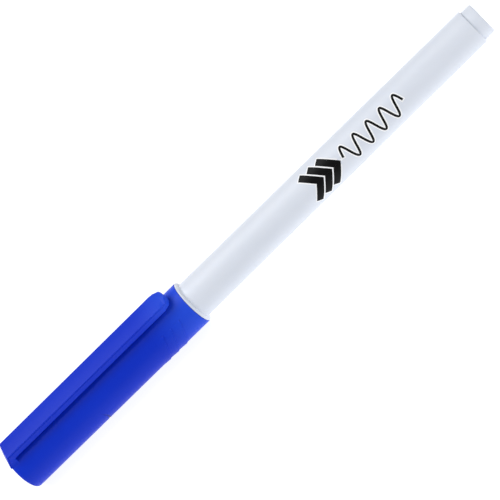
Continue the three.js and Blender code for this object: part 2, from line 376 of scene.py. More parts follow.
@dataclass(frozen=True)
class MouldedPlastic:
    """Injection-moulded plastic from a finely blasted steel mould.

    The blasting gives the surface its satin look: highlights spread out softly. The melt
    freezes unevenly, which leaves slow waves and a faint change of shade along the flow.
    """

    name: str
    deep: str  # the colour where the plastic is thickest
    light: str  # the colour where it flowed thin
    roughness: float  # the middle of its roughness
    unevenness: float = 0.05  # how far its roughness strays from that
    grain_mm: float = 0.16  # size of the blasted grain, drawn coarser than the real 0.03 mm to show
    grain_depth_mm: float = 0.0016
    grain_span: Point = (0.25, 0.75)  # the grain's values between which the roughness changes
    wave_mm: float = 9.0  # length of the slow waves left by the flow
    wave_depth_mm: float = 0.012
    wave_span: Point = (0.3, 0.7)  # the waves' values between which the colour changes
    wave_along: float = 0.3  # their scale along X, where the melt ran and drew them out
    subsurface: float = 0.0  # share of light that goes into the plastic and comes out beside
    glow_mm: float = 0.6  # how deep that light goes
    glow: tuple[float, float, float] = (1.0, 0.9, 0.8)  # and how deep for red, green and blue
    specular: float = 0.5
    ior: float = 1.49
    painted_light_from: float = 0.0  # where along the frame's X the painted light starts, in metres: the colour lightens towards the mouth, where light comes through from the white barrel inside
    painted_light_to: float = 1.0  # where that painted light is strongest
    thin: str | None = None  # the colour there, or None for a piece without painted light
    # the weld line, drawn in as painted shade over its groove
    weld: WeldShadeLine | None = None

    def make(self) -> bpy.types.Material:
        """Builds the node material.

        Returns:
            The material.
        """
        material, tree = new_material(self.name)
        place = add_node(tree, "TexCoord").outputs["Object"]
        flow = add_node(tree, "Mapping", {"Scale": (self.wave_along, 1.0, 1.0)}, {"Vector": place})
        slow = {"Scale": per_metre(self.wave_mm), "Detail": 2.0}
        wave = add_node(tree, "TexNoise", slow, {"Vector": flow})
        fine = {"Scale": per_metre(self.grain_mm), "Detail": 3.0, "Roughness": 0.6}
        grain = add_node(tree, "TexNoise", fine, {"Vector": place})
        low, high = self.wave_span
        share = add_node(tree, "MapRange", {"From Min": low, "From Max": high}, {"Value": wave})
        tones = {"data_type": "RGBA", MIX_LOW: linear(self.deep), MIX_HIGH: linear(self.light)}
        colour = add_node(tree, "Mix", tones, {MIX_SHARE: share})
        # Painted light: the blue turns lighter towards the mouth, standing in for light that comes
        # through the plastic from the white barrel inside.
        if self.thin:
            along = add_node(tree, "SeparateXYZ", links={"Vector": place})
            ease = {"interpolation_type": "SMOOTHSTEP"}
            ease |= {"From Min": self.painted_light_from, "From Max": self.painted_light_to}
            near = add_node(tree, "MapRange", ease, {"Value": along})
            painted_light_tone = {"data_type": "RGBA", MIX_HIGH: linear(self.thin)}
            over = {MIX_SHARE: near, MIX_LOW: colour.outputs[MIX_COLOUR]}
            colour = add_node(tree, "Mix", painted_light_tone, over)
        # Painted shade: the weld line's groove is darkened in the colour.
        if self.weld:
            colour = self.weld.draw(tree, place, colour)
        deep = {"Strength": 1.0, "Distance": self.wave_depth_mm * MM}
        waves = add_node(tree, "Bump", deep, {"Height": wave})
        shallow = {"Strength": 1.0, "Distance": self.grain_depth_mm * MM}
        relief = add_node(tree, "Bump", shallow, {"Height": grain, "Normal": waves})
        low, high = self.grain_span
        satin = {"From Min": low, "From Max": high}
        satin |= {"To Min": self.roughness - self.unevenness, "To Max": self.roughness + self.unevenness}
        gloss = add_node(tree, "MapRange", satin, {"Value": grain})
        plastic = {"IOR": self.ior, "Specular IOR Level": self.specular}
        plastic |= {"Subsurface Weight": self.subsurface, "Subsurface Radius": self.glow}
        plastic |= {"Subsurface Scale": self.glow_mm * MM}
        joined = {"Base Color": colour.outputs[MIX_COLOUR], "Roughness": gloss, "Normal": relief}
        shader = add_node(tree, "BsdfPrincipled", plastic, joined)
        add_node(tree, "OutputMaterial", links={"Surface": shader})
        return material


@dataclass(frozen=True)
class BondedFibre:
    """Polyester fibre bonded into a rod and soaked with ink.

    The fibres run along the rod, so it looks drawn out along X, dull and slightly hairy.
    """

    name: str
    wet: str  # the colour where the ink stands
    dry: str  # the colour of the fibres that stand out of it
    fibre_mm: float = 0.12  # thickness of a bundle of fibres, drawn coarser than the real 0.02 mm
    fibre_span: Point = (0.35, 0.7)  # the bundles' values between which the colour changes
    stretch: float = 6.0  # how much longer a bundle is than thick
    pore: float = 1.6  # size of a pore, in bundles
    pore_depth: float = 0.5  # how deep the pores are, beside the bundles
    depth_mm: float = 0.05
    roughness: float = 0.8

    def make(self) -> bpy.types.Material:
        """Builds the node material.

        Returns:
            The material.
        """
        material, tree = new_material(self.name)
        place = add_node(tree, "TexCoord").outputs["Object"]
        drawn = add_node(tree, "Mapping", {"Scale": (1 / self.stretch, 1.0, 1.0)}, {"Vector": place})
        hairs = {"Scale": per_metre(self.fibre_mm), "Detail": 4.0, "Roughness": 0.7}
        strands = add_node(tree, "TexNoise", hairs, {"Vector": drawn})
        wide = {"Scale": per_metre(self.fibre_mm * self.pore)}
        pores = add_node(tree, "TexVoronoi", wide, {"Vector": place}).outputs["Distance"]
        sunk = {"operation": "MULTIPLY_ADD", 1: self.pore_depth}
        height = add_node(tree, "Math", sunk, {0: pores, 2: strands})
        relief = {"Strength": 0.8, "Distance": self.depth_mm * MM}
        bump = add_node(tree, "Bump", relief, {"Height": height})
        low, high = self.fibre_span
        share = add_node(tree, "MapRange", {"From Min": low, "From Max": high}, {"Value": strands})
        tones = {"data_type": "RGBA", MIX_LOW: linear(self.wet), MIX_HIGH: linear(self.dry)}
        colour = add_node(tree, "Mix", tones, {MIX_SHARE: share}).outputs[MIX_COLOUR]
        dull = {"Roughness": self.roughness, "Sheen Weight": 0.15, "Sheen Roughness": 0.5}
        shader = add_node(tree, "BsdfPrincipled", dull, {"Base Color": colour, "Normal": bump})
        add_node(tree, "OutputMaterial", links={"Surface": shader})
        return material


@dataclass(frozen=True)
class WrapFilm:
    """Extruded clear film wrapped round the fibre: glossy, with fine draw lines along it."""

    name: str
    clear: str  # the colour over the fibre
    milky: str  # the colour along the draw lines
    line_mm: float = 0.4  # distance between draw lines, drawn coarser than the real 0.05 mm
    line_along: float = 0.02  # their scale along X, where they run
    depth_mm: float = 0.01
    roughness: float = 0.18
    ior: float = 1.5

    def make(self) -> bpy.types.Material:
        """Builds the node material.

        Returns:
            The material.
        """
        material, tree = new_material(self.name)
        place = add_node(tree, "TexCoord").outputs["Object"]
        drawn = add_node(tree, "Mapping", {"Scale": (self.line_along, 1.0, 1.0)}, {"Vector": place})
        fine = {"Scale": per_metre(self.line_mm), "Detail": 2.0}
        lines = add_node(tree, "TexNoise", fine, {"Vector": drawn})
        relief = {"Strength": 0.5, "Distance": self.depth_mm * MM}
        bump = add_node(tree, "Bump", relief, {"Height": lines})
        tones = {"data_type": "RGBA", MIX_LOW: linear(self.clear), MIX_HIGH: linear(self.milky)}
        colour = add_node(tree, "Mix", tones, {MIX_SHARE: lines}).outputs[MIX_COLOUR]
        glossy = {"Roughness": self.roughness, "IOR": self.ior}
        shader = add_node(tree, "BsdfPrincipled", glossy, {"Base Color": colour, "Normal": bump})
        add_node(tree, "OutputMaterial", links={"Surface": shader})
        return material


@dataclass(frozen=True)
class PadPrint:
    """Ink laid on by a silicone pad: thin, dense and slightly uneven."""

    name: str
    dense: str  # the colour where the ink lies thick
    sparse: str  # the colour where the pad left less of it
    roughness: float = 0.42  # the middle of the dry ink's roughness
    unevenness: float = 0.06  # how far its roughness strays from that
    specular: float = 0.4
    ior: float = 1.48
    speckle_mm: float = 0.3  # size of the uneven patches, drawn coarser than the real 0.05 mm
    colour_span: Point = (0.5, 0.75)  # the patches' values between which the colour changes
    gloss_span: Point = (0.3, 0.7)  # and the roughness
    depth_mm: float = 0.003

    def make(self) -> bpy.types.Material:
        """Builds the node material.

        Returns:
            The material.
        """
        material, tree = new_material(self.name)
        place = add_node(tree, "TexCoord").outputs["Object"]
        patchy = {"Scale": per_metre(self.speckle_mm), "Detail": 4.0, "Roughness": 0.65}
        speckle = add_node(tree, "TexNoise", patchy, {"Vector": place})
        relief = {"Strength": 0.6, "Distance": self.depth_mm * MM}
        bump = add_node(tree, "Bump", relief, {"Height": speckle})
        low, high = self.colour_span
        share = add_node(tree, "MapRange", {"From Min": low, "From Max": high}, {"Value": speckle})
        tones = {"data_type": "RGBA", MIX_LOW: linear(self.dense), MIX_HIGH: linear(self.sparse)}
        colour = add_node(tree, "Mix", tones, {MIX_SHARE: share}).outputs[MIX_COLOUR]
        low, high = self.gloss_span
        shine = {"From Min": low, "From Max": high}
        shine |= {"To Min": self.roughness - self.unevenness, "To Max": self.roughness + self.unevenness}
        gloss = add_node(tree, "MapRange", shine, {"Value": speckle})
        ink = {"IOR": self.ior, "Specular IOR Level": self.specular}
        joined = {"Base Color": colour, "Roughness": gloss, "Normal": bump}
        shader = add_node(tree, "BsdfPrincipled", ink, joined)
        add_node(tree, "OutputMaterial", links={"Surface": shader})
        return material


@dataclass
class Finishes:
    """The materials of the marker, each made once."""

    mouth: float  # the cap's mouth along the frame's X, in metres
    weld: WeldShadeLine  # the cap's weld line, whose groove is darkened with painted shade
    painted_light_length: float = 12.0  # how far from the mouth the painted light reaches, in millimetres
    made: dict[Finish, bpy.types.Material] = field(default_factory=dict)

    def __post_init__(self) -> None:
        """Makes every material."""
        kinds: dict[Finish, MouldedPlastic | BondedFibre | WrapFilm | PadPrint] = {
            # Moulded polypropylene, deep blue: satin, with painted light towards the mouth, where light
            # comes through from the white barrel inside.
            Finish.BLUE: MouldedPlastic(
                "polypropylene_blue_moulded", "#0a30c6", "#0e35cc", 0.4, subsurface=0.05, specular=0.13,
                painted_light_from=self.mouth - self.painted_light_length * MM, painted_light_to=self.mouth, thin="#244ede",
                weld=self.weld,
            ),
            # Moulded polypropylene, cool white: satin, slightly see-through at its edges.
            Finish.WHITE: MouldedPlastic(
                "polypropylene_white_moulded", "#dfe5f0", "#e4e9f3", 0.42, subsurface=0.1, specular=0.4
            ),
            # Moulded polyethylene without colouring: milky, waxy and soft to the eye.
            Finish.NATURAL: MouldedPlastic(
                "polyethylene_natural_moulded", "#e6eaea", "#f1f3f2", 0.5, subsurface=0.35,
                wave_depth_mm=0.02,
            ),
            # Bonded polyester felt, wet with blue ink: dull and nearly black at its tip.
            Finish.FELT: BondedFibre("polyester_felt_inked", "#0c1450", "#27358f", stretch=3.0),
            # Loose polyester fibre, soaked with blue ink: strands along the rod.
            Finish.FIBRE: BondedFibre(
                "polyester_fibre_inked", "#1b2a8c", "#3a4bb4", stretch=12.0, roughness=0.95
            ),
            # Extruded polypropylene film: glossy over the fibre that it holds.
            Finish.FILM: WrapFilm("polypropylene_film_extruded", "#cfd7ea", "#e3e8f2"),
            # Pad-printed ink, black: thin and dense with a soft shine.
            Finish.PRINT: PadPrint("ink_black_pad_printed", "#060607", "#0d0d0f", specular=0.15),
            # Pad-printed ink, white: the ground under the black, brighter than the barrel.
            Finish.GROUND: PadPrint("ink_white_pad_printed", "#fcfdff", "#f6f8fc"),
        }
        for finish, kind in kinds.items():
            self.made[finish] = kind.make()

    def dress(self, piece: bpy.types.Object, finish: Finish) -> None:
        """Gives a piece one of the materials, in place of what it has."""
        piece.data.materials.clear()
        piece.data.materials.append(self.made[finish])

    def settle(
        self, piece: bpy.types.Object, body: Body, finish: Finish, stands_for: str | None = None
    ) -> None:
        """Dresses a finished piece and puts it on its body.

        Args:
            piece: The piece, in place.
            body: The body that it rides on.
            finish: Its finish.
            stands_for: The node of the frame that it replaces, if any.
        """
        self.dress(piece, finish)
        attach(piece, body.value)
        if stands_for:
            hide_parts(stands_for)
        LOG.info("%s rides on %s, %d faces", piece.name, body.value, len(piece.data.polygons))


@dataclass
class Part:
    """A piece of one finish that rides on one body. All sizes are in millimetres."""

    line: CentreLine

    node: ClassVar[str]  # the node of the frame that it replaces
    body: ClassVar[Body] = Body.PEN
    finish: ClassVar[Finish] = Finish.WHITE

    def dress(self, piece: bpy.types.Object, finishes: Finishes) -> None:
        """Colours the piece and puts it on its body."""
        finishes.settle(piece, self.body, self.finish, self.node)


@dataclass
class Turned(Part):
    """A piece turned about the centre line from one outline."""

    title: ClassVar[str]  # the name of the finished piece
    steps: ClassVar[int] = 5
    sharp: ClassVar[float] = SHARP_ANGLE

    def outline(self) -> list[Corner]:
        """The corners of its outline, in order."""
        raise NotImplementedError

    def inserts(self) -> list[list[Ring]]:
        """Runs of rings of anything that stands inside it."""
        return []

    def build(self) -> bpy.types.Object:
        """Makes the piece."""
        rings = turned_rings(self.line, rounded(self.outline(), self.steps))
        return skin(self.title, [rings, *self.inserts()], self.sharp)


# ---------------------------------------------------------------- cap


@dataclass
class Cap(Part):
    """Moulded cap: shell with a rounded closed end, thumb ribs and the liner's stop.

    A weld line has left a shallow groove over the step inside, on one side. All angles are in
    degrees from the clip.
    """

    node = "cap"
    body = Body.SHELL
    finish = Finish.BLUE

    length: float
    radius: float
    wall: float = 0.9
    floor: float = 1.2
    end_rounding: float = 0.8
    mouth_rounding: float = 0.12
    stop_depth: float = 30.8
    stop_step: float = 0.3
    gate_radius: float = 1.0
    gate_depth: float = 0.2
    gate_stub_radius: float = 0.4
    gate_stub_height: float = 0.1
    gate_fillet: float = 0.07
    stop_fillet: float = 0.1
    floor_fillet: float = 0.4
    sides: int = 240
    rib_count: int = 3
    rib_pitch: float = 2.5
    rib_height: float = 0.142
    rib_ramp: float = 1.9
    rib_face: float = 0.06
    rib_inset: float = 3.55
    rib_start: float = 52.0
    rib_end: float = 150.0
    rib_fade: float = 2.5
    rib_slant: float = 24.0
    slant_run_in: float = 9.0
    weld_start: float = 84.0
    weld_strong: float = 118.0
    weld_angle: float = 134.0
    weld_end: float = 160.0
    groove_depth: float = 0.12
    groove_width: float = 0.13
    rib_gap: float = 0.6
    mouth_gap: float = 0.8
    # From the step inside: where rows end before the groove, start and end over it, and go on.
    groove_rows: tuple[float, ...] = (-1.8, -1.3, 1.1, 1.6)
    # How many rows lead up to the groove, over it, on to the ribs, up a rib and to the mouth.
    row_counts: tuple[int, ...] = (12, 49, 14, 5, 5)

    def crests(self) -> list[float]:
        """Where the ribs' crests start beside the clip, nearest the closed end first."""
        first = self.length - self.rib_inset
        return [first - index * self.rib_pitch for index in reversed(range(self.rib_count))]

    def slide(self, u: float, turn: float) -> float:
        """How far a point at u slides towards the closed end, so that rows follow the ribs.

        Args:
            u: The row that the point is in, beside the clip.
            turn: Its angle from the clip, either way round.

        Returns:
            The distance.
        """
        swept = math.radians(min(max(turn, self.rib_start), self.rib_end) - self.rib_start)
        reach = math.tan(math.radians(self.rib_slant)) * swept * self.radius
        low = self.crests()[0] - self.rib_ramp
        high = self.crests()[-1] + self.rib_face
        if u < low:
            return reach * smoothstep(low - self.slant_run_in, low, u)
        if u > high:
            return reach * (1 - (u - high) / (self.length - self.mouth_rounding - high))
        return reach

    def rib(self, u: float, turn: float) -> float:
        """Height of the ribs at a row and an angle.

        Args:
            u: The row that the point is in, beside the clip.
            turn: Its angle from the clip, either way round.

        Returns:
            The height over the plain surface.
        """
        inside = smoothstep(self.rib_start, self.rib_start + self.rib_fade, turn)
        inside *= 1 - smoothstep(self.rib_end - self.rib_fade, self.rib_end, turn)
        for crest in self.crests():
            if crest - self.rib_ramp < u <= crest:
                return inside * self.rib_height * (u - crest + self.rib_ramp) / self.rib_ramp
        return 0.0

    def weld(self) -> WeldShadeLine:
        """The weld line and its painted shade, whose strong end lies over the step inside."""
        end = self.line.around(self.length - self.stop_depth, self.radius, self.weld_angle)
        return WeldShadeLine(end.x, end.z)

    def groove(self, x: float, angle: float) -> float:
        """Depth of the groove that the weld line leaves on one side.

        Args:
            x: The place along the centre line.
            angle: The angle from the clip, towards -Y.

        Returns:
            The depth under the plain surface.
        """
        if not self.weld_start < angle < self.weld_end:
            return 0.0
        up = math.cos(math.radians(angle)) - math.cos(math.radians(self.weld_angle))
        middle = self.length - self.stop_depth + self.weld().drift_mm(up * self.radius)
        across = (x - middle) / self.groove_width
        along = smoothstep(self.weld_start, self.weld_strong, angle)
        along *= 1 - smoothstep(self.weld_angle, self.weld_end, angle)
        return self.groove_depth * along * math.exp(-across * across)

    def outer_rows(self) -> list[float]:
        """Where the rows of the outer surface lie, beside the clip.

        Returns:
            Their places, from the closed end to the mouth.
        """
        before, first, last, after = (self.length - self.stop_depth + row for row in self.groove_rows)
        end, groove, middle, ramp, mouth = self.row_counts
        rows = spread(self.end_rounding, before, end) + spread(first, last, groove)
        rows += spread(after, self.crests()[0] - self.rib_ramp - self.rib_gap, middle)
        for crest in self.crests():
            rows += [*spread(crest - self.rib_ramp, crest, ramp), crest + self.rib_face]
        start = self.crests()[-1] + self.mouth_gap
        return rows + spread(start, self.length - self.mouth_rounding, mouth)

    def outer_ring(self, u: float) -> Ring:
        """One ring of the outer surface.

        Args:
            u: Its row, beside the clip.

        Returns:
            The ring.
        """
        ring = []
        for side in range(self.sides):
            angle = 360 * side / self.sides
            turn = min(angle, 360 - angle)
            x = u - self.slide(u, turn)
            radius = self.radius + self.rib(u, turn) - self.groove(x, angle)
            ring.append(self.line.around(x, radius, angle))
        return ring

    def build(self) -> bpy.types.Object:
        """Makes the shell: its closed end, its outer surface, then its mouth and bore.

        Returns:
            The shell.
        """
        bore = self.radius - self.wall
        stop = self.length - self.stop_depth
        stub = self.gate_depth - self.gate_stub_height
        end = [
            (stub, 0),
            (stub, self.gate_stub_radius, self.gate_fillet),
            (self.gate_depth, self.gate_stub_radius, self.gate_fillet),
            (self.gate_depth, self.gate_radius - self.gate_depth, self.gate_fillet),
            (0, self.gate_radius, self.gate_fillet),
            (0, self.radius, self.end_rounding),
            (self.end_rounding + 1, self.radius),  # only shows which way the side runs
        ]
        inside = [
            (self.length - self.mouth_rounding, self.radius),
            (self.length, self.radius, self.mouth_rounding),
            (self.length, bore, self.mouth_rounding),
            (stop, bore),
            (stop, bore - self.stop_step, self.stop_fillet),
            (self.floor, bore - self.stop_step, self.floor_fillet),
            (self.floor, 0),
        ]
        rings = turned_rings(self.line, rounded(end, steps=7)[:-2], self.sides)
        rings += [self.outer_ring(u) for u in self.outer_rows()]
        rings += turned_rings(self.line, rounded(inside)[2:], self.sides)[:-1]
        return skin("cap_shell_moulding", [rings], sharp=24)


@dataclass
class Clip(Part):
    """Moulded clip: a root that leans out of the cap's end, a flat tongue and a grip nub.

    The mould's two halves leave a fine parting groove along both sides.
    """

    node = "clip"
    finish = Finish.BLUE

    cap_radius: float
    top: float
    width: float
    tip: float
    thickness: float = 1.85
    lean: float = 1.5
    slot: float = 2.4
    slot_fillet: float = 0.5
    edge: float = 0.1
    edge_share: float = 0.4  # of half the width, at most
    foot_depth: float = 0.4
    foot_gap: float = 0.02
    parting_down: float = 0.12
    parting_width: float = 0.24
    parting_depth: float = 0.1
    parting_share: float = 0.3  # of half the width, at most
    taper_length: float = 2.0
    taper: float = 0.5
    tip_radius: float = 3.2
    tip_corner: float = 0.4
    bevel_length: float = 3.2
    bevel_run_in: float = 2.5
    bevel_crest: float = 0.6
    bevel_drop: float = 0.3
    bevel_share: float = 0.6  # of the height, at most
    nub_height: float = 0.5
    nub_length: float = 3.0
    nub_width: float = 2.6
    nub_inset: float = 3.5
    nub_root: float = 0.4
    nub_ends: Point = (0.02, 0.98)  # shares of its length between which it has sections
    bend_start: float = 2.6
    bend_end: float = 10.0
    row_gap: float = 0.5
    tongue_gap: float = 1.0
    tongue_rows: int = 24
    bevel_rows: int = 12
    nub_rows: int = 17
    corner_steps: int = 6
    # Height, flare and draw-in of each section where the root leaves the cap.
    foot_rows: tuple[tuple[float, float, float], ...] = (
        (4.6, 0.38, 0.48), (5.0, 0.24, 0.0), (5.2, 0.13, 0.0), (5.4, 0.05, 0.0), (5.6, 0.0, 0.0)
    )
    # Degrees round the slot's fillet, and share of the lean, up the root.
    lean_rows: tuple[Point, ...] = ((0, 0.18), (12, 0.4), (25, 0.66), (38, 0.86), (48, 0.95))
    # Degrees round that fillet, place and drop of each section over the top.
    crown_rows: tuple[tuple[float, float, float], ...] = (
        (57, 1.56, 0.03), (66, 1.76, 0.0), (78, 2.2, 0.0), (90, 2.9, 0.0)
    )
    end_shares: tuple[float, ...] = (0.82, 0.68, 0.54, 0.42, 0.3, 0.2, 0.1)  # of the tip's half arc

    def section(
        self, inner: Point, outer: Point, half: float, bevel: float = 0.0, parted: bool = True
    ) -> Ring:
        """One section across the clip.

        Args:
            inner: Its middle on the side of the cap, as [x, z].
            outer: Its middle on the outer side, as [x, z].
            half: Half of its width.
            bevel: From 0, rounded outer edges, to 1, the wide bevels at the tip.
            parted: Whether the parting groove runs along its sides.

        Returns:
            The section's points in metres.
        """
        out = Vector(outer) - Vector(inner)
        tall = out.length
        out.normalize()
        across = lerp(self.edge, max(half - self.bevel_crest, self.edge), bevel)
        drop = min(lerp(self.edge, self.bevel_drop, bevel), tall * self.bevel_share)
        edge = min(self.edge, half * self.edge_share)
        shares = spread(0, 1, self.corner_steps)
        right: list[Point] = []
        for share in shares:
            turn = share * math.pi / 2
            right.append((half - edge + edge * math.sin(turn), edge - edge * math.cos(turn)))
        if parted:
            high = tall - drop - self.parting_down
            low = high - self.parting_width
            deep = half - min(self.parting_depth, half * self.parting_share)
            right += [(half, low), (deep, (low + high) / 2), (half, high)]
        for share in shares:
            turn = share * math.pi / 2
            arc = (half - across * (1 - math.cos(turn)), tall - drop * (1 - math.sin(turn)))
            flat = (half - across * share, tall - drop * (1 - share))
            right.append((lerp(arc[0], flat[0], bevel), lerp(arc[1], flat[1], bevel)))
        loop = right + [(-y, up) for y, up in reversed(right)]
        return [self.line.at(inner[0] + out.x * up, y, inner[1] + out.y * up) for y, up in loop]

    def slot_corner(self, turn: float, under: float) -> Point:
        """A point at some degrees round the fillet between the root and the tongue."""
        angle = math.radians(turn)
        return (
            self.slot + self.slot_fillet * (1 - math.cos(angle)),
            under - self.slot_fillet * (1 - math.sin(angle)),
        )

    def root_rings(self) -> list[Ring]:
        """Sections up the leaning root and round its corner on to the tongue.

        Returns:
            The sections, from the cap outwards.
        """
        half = self.width / 2
        under = self.top - self.thickness
        low = self.cap_radius - self.foot_depth
        rise = (self.top - low) / self.lean
        rings = []
        for z, flare, drawn in self.foot_rows:
            lean = max((z - low) / rise, 0.0) + self.foot_gap + drawn
            rings.append(self.section((self.slot, z), (lean, z), half + flare))
        for turn, share in self.lean_rows:
            outer = (self.lean * share + self.foot_gap, lerp(low, self.top, share))
            rings.append(self.section(self.slot_corner(turn, under), outer, half))
        for turn, x, drop in self.crown_rows:
            rings.append(self.section(self.slot_corner(turn, under), (x, self.top - drop), half))
        return rings

    def nub_rings(self) -> list[Ring]:
        """Sections along the grip nub, which is sunk into the tongue's underside.

        Returns:
            The sections, from the root to the tip.
        """
        under = self.top - self.thickness
        top = under + self.nub_root
        rings = []
        for share in spread(*self.nub_ends, self.nub_rows):
            x = self.tip - self.nub_inset + self.nub_length * (share - 0.5)
            low = under - self.nub_height * math.sin(math.pi * share)
            rings.append(self.section((x, low), (x, top), self.nub_width / 2, parted=False))
        return rings

    def tongue_rings(self) -> list[Ring]:
        """Sections along the tongue to its rounded and bevelled tip.

        Returns:
            The sections, from the root to the tip.
        """
        half = self.width / 2
        bevel_x = self.tip - self.bevel_length
        taper_x = self.tip - self.taper_length
        end_half = half - self.taper
        under = self.top - self.thickness
        start = self.slot + self.slot_fillet + self.tongue_gap
        rows = spread(start, bevel_x - self.row_gap, self.tongue_rows)
        run_in = spread(bevel_x, bevel_x + self.bevel_run_in, self.bevel_rows)
        sagitta = self.tip_radius - math.sqrt(self.tip_radius**2 - end_half**2)
        end_x = self.tip - sagitta
        rings = []
        for x in (x for x in sorted({*rows, taper_x, *run_in}) if x < end_x - self.row_gap):
            bevel = smoothstep(bevel_x, bevel_x + self.bevel_run_in, x)
            side = half - self.taper * max(x - taper_x, 0) / (end_x - taper_x)
            rings.append(self.section((x, under), (x, self.top), side, bevel))
        last_half = half - self.taper * (1 - self.row_gap / (end_x - taper_x))
        corner = (end_x, end_half, self.tip_corner)
        for x, side in rounded([(end_x - self.row_gap, last_half), corner, *self.end_arc(end_half)]):
            lip = max(x - (self.tip - self.edge), 0.0) / self.edge
            drop = self.edge * (1 - math.sqrt(max(1 - lip * lip, 0.0)))
            rings.append(self.section((x, under + drop), (x, self.top - drop), side, 1.0))
        return rings

    def end_arc(self, end_half: float) -> list[Corner]:
        """Half of the rounded end seen from above, from its corner to near its middle.

        Args:
            end_half: Half of the tongue's width where the rounded end starts.

        Returns:
            Sharp corners of [x, half of the width].
        """
        full = math.degrees(math.asin(end_half / self.tip_radius))
        turns = [math.radians(full * share) for share in self.end_shares]
        reach = self.tip_radius
        return [(self.tip - reach * (1 - math.cos(turn)), reach * math.sin(turn)) for turn in turns]

    def build(self) -> bpy.types.Object:
        """Makes the clip."""
        parts = [self.root_rings() + self.tongue_rings(), self.nub_rings()]
        return skin("clip_moulding", parts, sharp=19.5)

    def dress(self, piece: bpy.types.Object, finishes: Finishes) -> None:
        """Colours the clip, hides the frame's clip and bakes its place into its mesh.

        Args:
            piece: The finished clip.
            finishes: The marker's materials.
        """
        finishes.dress(piece, self.finish)
        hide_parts(self.node)
        start, end = (tuple(self.line.at(x, 0, self.top)) for x in (self.bend_start, self.bend_end))
        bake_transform(piece)
        LOG.info("%s bends from %s to %s", piece.name, Body.SHELL.value, Body.TONGUE.value)


@dataclass
class InnerCap(Turned):
    """Liner cup that closes round the nose, so that the nib can't dry."""

    node = "inner_cap"
    title = "inner_cap_moulding"
    body = Body.LINER
    finish = Finish.NATURAL

    end: float
    mouth: float
    radius: float
    bore: float = 3.273
    floor: float = 0.9
    ring_length: float = 8.0
    relief: float = 0.35
    lead: float = 0.4
    edge: float = 0.12
    end_fillet: float = 0.35
    floor_fillet: float = 0.4

    def outline(self) -> list[Corner]:
        """The corners of the cup.

        Returns:
            The corners, in order.
        """
        body = self.radius - self.relief
        ring_end = self.mouth - self.ring_length
        inner = self.end + self.floor
        return [
            (self.end, 0),
            (self.end, body, self.end_fillet),
            (ring_end, body, self.edge),
            (ring_end, self.radius, self.edge),
            (self.mouth, self.radius, self.edge),
            (self.mouth, self.bore + self.lead, self.edge),
            (self.mouth - self.lead, self.bore, self.edge),
            (inner, self.bore, self.floor_fillet),
            (inner, 0),
        ]


# ---------------------------------------------------------------- pen


@dataclass
class FrontSection(Turned):
    """Nib holder: nose, sealing land, snap bead, stop collar and spigot."""

    node = "front_section"
    title = "front_section_moulding"
    sharp = 40

    nose: float
    spigot_end: float
    collar_radius: float
    barrel_radius: float
    nose_radius: float = 2.55
    seal_radius: float = 3.213
    land_radius: float = 4.4
    spigot_radius: float = 3.52
    hollow_radius: float = 2.82
    bore: float = 2.03
    taper: float = 3.5
    seal: float = 6.0
    land_cone: float = 2.0
    land: float = 6.55
    bead_inset: float = 1.6
    bead_length: float = 0.9
    bead_height: float = 0.08
    collar: float = 0.35
    cone: float = 0.25
    hollow_depth: float = 9.0
    nose_fillet: float = 0.15
    seal_fillet: float = 1.5
    cone_fillet: float = 0.5
    bead_fillet: float = 0.3
    bead_crest: float = 0.6
    root_fillet: float = 0.08
    collar_front_fillet: float = 0.12
    collar_rear_fillet: float = 0.15
    joint_fillet: float = 0.05
    spigot_fillet: float = 0.2
    hollow_fillet: float = 0.1

    def outline(self) -> list[Corner]:
        """The corners of the holder.

        Returns:
            The corners, in order.
        """
        seal_x = self.nose + self.taper
        cone_x = seal_x + self.seal
        land_x = cone_x + self.land_cone
        collar_x = land_x + self.land
        bead_x = land_x + self.bead_inset
        crest_x = bead_x + self.bead_length / 2
        hollow_x = self.spigot_end - self.hollow_depth
        rear_x = collar_x + self.collar + self.cone
        return [
            (self.nose, self.bore),
            (self.nose, self.nose_radius, self.nose_fillet),
            (seal_x, self.seal_radius, self.seal_fillet),
            (cone_x, self.seal_radius, self.cone_fillet),
            (land_x, self.land_radius, self.cone_fillet),
            (bead_x, self.land_radius, self.bead_fillet),
            (crest_x, self.land_radius + self.bead_height, self.bead_crest),
            (bead_x + self.bead_length, self.land_radius, self.bead_fillet),
            (collar_x, self.land_radius, self.root_fillet),
            (collar_x, self.collar_radius, self.collar_front_fillet),
            (collar_x + self.collar, self.collar_radius, self.collar_rear_fillet),
            (rear_x, self.barrel_radius, self.joint_fillet),
            (rear_x, self.spigot_radius, self.joint_fillet),
            (self.spigot_end, self.spigot_radius, self.spigot_fillet),
            (self.spigot_end, self.hollow_radius, self.hollow_fillet),
            (hollow_x, self.hollow_radius, self.hollow_fillet),
            (hollow_x, self.bore),
        ]


@dataclass
class Nib(Part):
    """Bullet nib with a rounded writing end and a tapered tail."""

    node = "nib"
    finish = Finish.FELT

    tip: float
    tail: float
    radius: float
    round_length: float = 2.6
    tail_taper: float = 3.0
    tail_radius: float = 0.9
    taper_fillet: float = 0.8
    tail_fillet: float = 0.3
    dome_steps: int = 14
    sides: int = 96

    def build(self) -> bpy.types.Object:
        """Makes the nib.

        Returns:
            The nib.
        """
        dome = []
        for step in range(self.dome_steps + 1):
            turn = math.pi / 2 * step / self.dome_steps
            x = self.tip + self.round_length * (1 - math.cos(turn))
            dome.append((x, self.radius * math.sin(turn)))
        tail = rounded(
            [
                (self.tip + self.round_length, self.radius),
                (self.tail - self.tail_taper, self.radius, self.taper_fillet),
                (self.tail, self.tail_radius, self.tail_fillet),
                (self.tail, 0),
            ]
        )[1:]
        return skin("nib_felt", [turned_rings(self.line, dome + tail, self.sides)])


